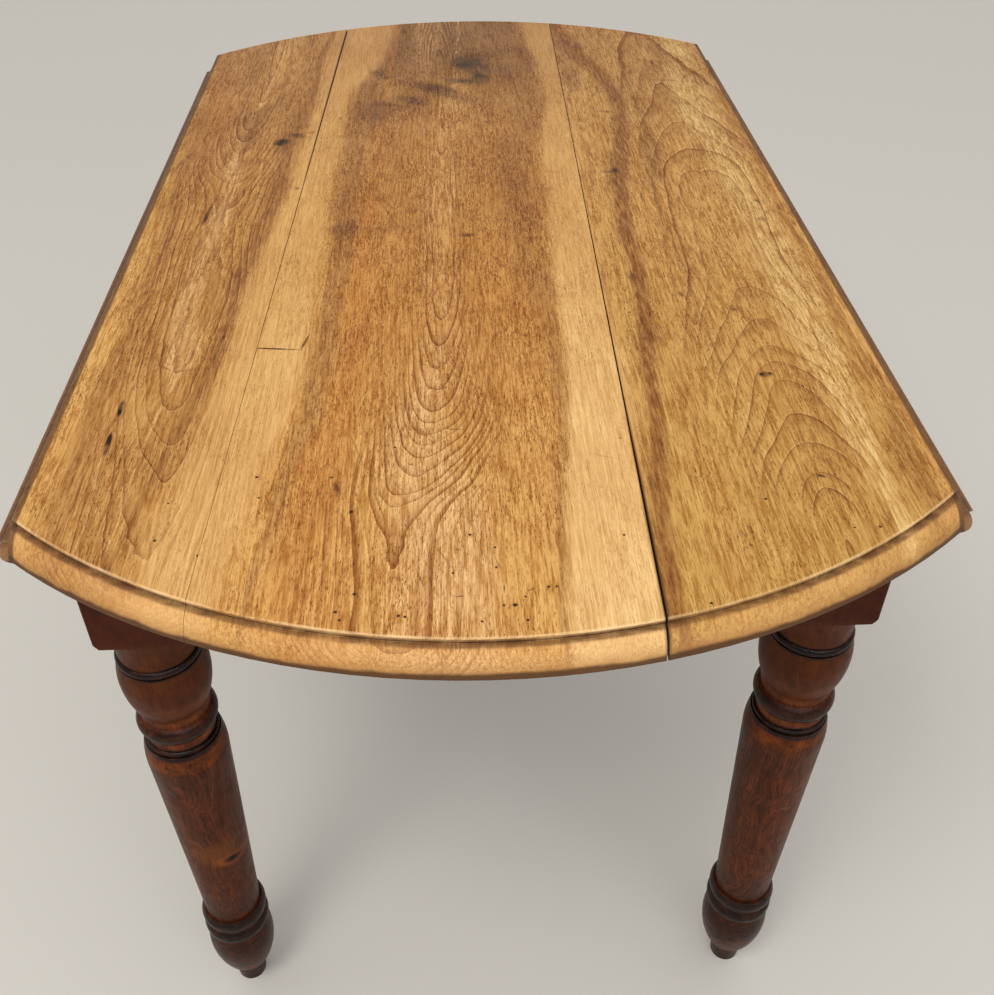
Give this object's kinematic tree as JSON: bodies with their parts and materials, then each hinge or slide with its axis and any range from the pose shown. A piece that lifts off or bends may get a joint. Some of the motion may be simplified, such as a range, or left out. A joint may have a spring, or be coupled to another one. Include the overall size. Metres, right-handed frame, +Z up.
{
  "type": "drop-leaf table",
  "caption": "Oval drop-leaf dining table with a moulded plank top, two hanging leaves on hinges, pull-out leaf supports and turned legs.",
  "frame": {"origin": "on the floor under the middle of the table", "axes": "+X across the table to the right leaf, +Y along it away from the viewer's end, +Z up; the leaves hang at rest"},
  "size_m": [0.6848, 1.229, 0.75],
  "materials": {
    "top_walnut": "old walnut planks, oiled and waxed to a soft sheen",
    "leaf_walnut": "old walnut, darker than the fixed top, waxed",
    "leg_walnut": "turned walnut with a dark red-brown polished stain, worn on the rounds",
    "rail_walnut": "planed walnut with the legs' dark stain",
    "underframe_beech": "bare old beech, dusty and grey-brown",
    "loper_beech": "bare beech, rubbed smooth by sliding",
    "peg_oak": "split oak pegs, stained with the frame",
    "hinge_iron": "old wrought iron, dark and slightly rusty",
    "screw_steel": "dull old steel"
  },
  "bodies": {
    "frame": {"batten_back": "underframe_beech", "batten_front": "underframe_beech", "batten_screws": "screw_steel", "button_screws": "screw_steel", "end_rail_back": "rail_walnut", "end_rail_front": "rail_walnut", "hinge_pins_left": "hinge_iron", "hinge_pins_right": "hinge_iron", "hinge_plates_left": "hinge_iron", "hinge_plates_right": "hinge_iron", "hinge_screws_left": "screw_steel", "hinge_screws_right": "screw_steel", "joint_pegs": "peg_oak", "keeper_screws": "screw_steel", "leg_back_left": "leg_walnut", "leg_back_right": "leg_walnut", "leg_front_left": "leg_walnut", "leg_front_right": "leg_walnut", "loper_keeper_back_left": "underframe_beech", "loper_keeper_back_right": "underframe_beech", "loper_keeper_front_left": "underframe_beech", "loper_keeper_front_right": "underframe_beech", "side_rail_left": "rail_walnut", "side_rail_right": "rail_walnut", "top_board_centre": "top_walnut", "top_board_left": "top_walnut", "top_board_right": "top_walnut", "top_buttons": "underframe_beech"},
    "leaf_left": {"leaf_left": "leaf_walnut", "leaf_plates_left": "hinge_iron", "leaf_screws_left": "screw_steel"},
    "leaf_right": {"leaf_right": "leaf_walnut", "leaf_plates_right": "hinge_iron", "leaf_screws_right": "screw_steel"},
    "loper_front_left": {"loper_front_left": "loper_beech", "loper_stop_front_left": "peg_oak"},
    "loper_back_left": {"loper_back_left": "loper_beech", "loper_stop_back_left": "peg_oak"},
    "loper_front_right": {"loper_front_right": "loper_beech", "loper_stop_front_right": "peg_oak"},
    "loper_back_right": {"loper_back_right": "loper_beech", "loper_stop_back_right": "peg_oak"}
  },
  "joints": [
    {"name": "leaf_left_hinge", "type": "hinge", "parent": "frame", "child": "leaf_left", "pos_m": [-0.3234, 0, 0.731], "axis": [0, 1, 0], "range_deg": [0, 90]},
    {"name": "leaf_right_hinge", "type": "hinge", "parent": "frame", "child": "leaf_right", "pos_m": [0.3234, 0, 0.731], "axis": [0, -1, 0], "range_deg": [0, 90]},
    {"name": "loper_front_left_slide", "type": "slide", "parent": "frame", "child": "loper_front_left", "axis": [-1, 0, 0], "range_m": [0, 0.02]},
    {"name": "loper_back_left_slide", "type": "slide", "parent": "frame", "child": "loper_back_left", "axis": [-1, 0, 0], "range_m": [0, 0.02]},
    {"name": "loper_front_right_slide", "type": "slide", "parent": "frame", "child": "loper_front_right", "axis": [1, 0, 0], "range_m": [0, 0.02]},
    {"name": "loper_back_right_slide", "type": "slide", "parent": "frame", "child": "loper_back_right", "axis": [1, 0, 0], "range_m": [0, 0.02]}
  ]
}
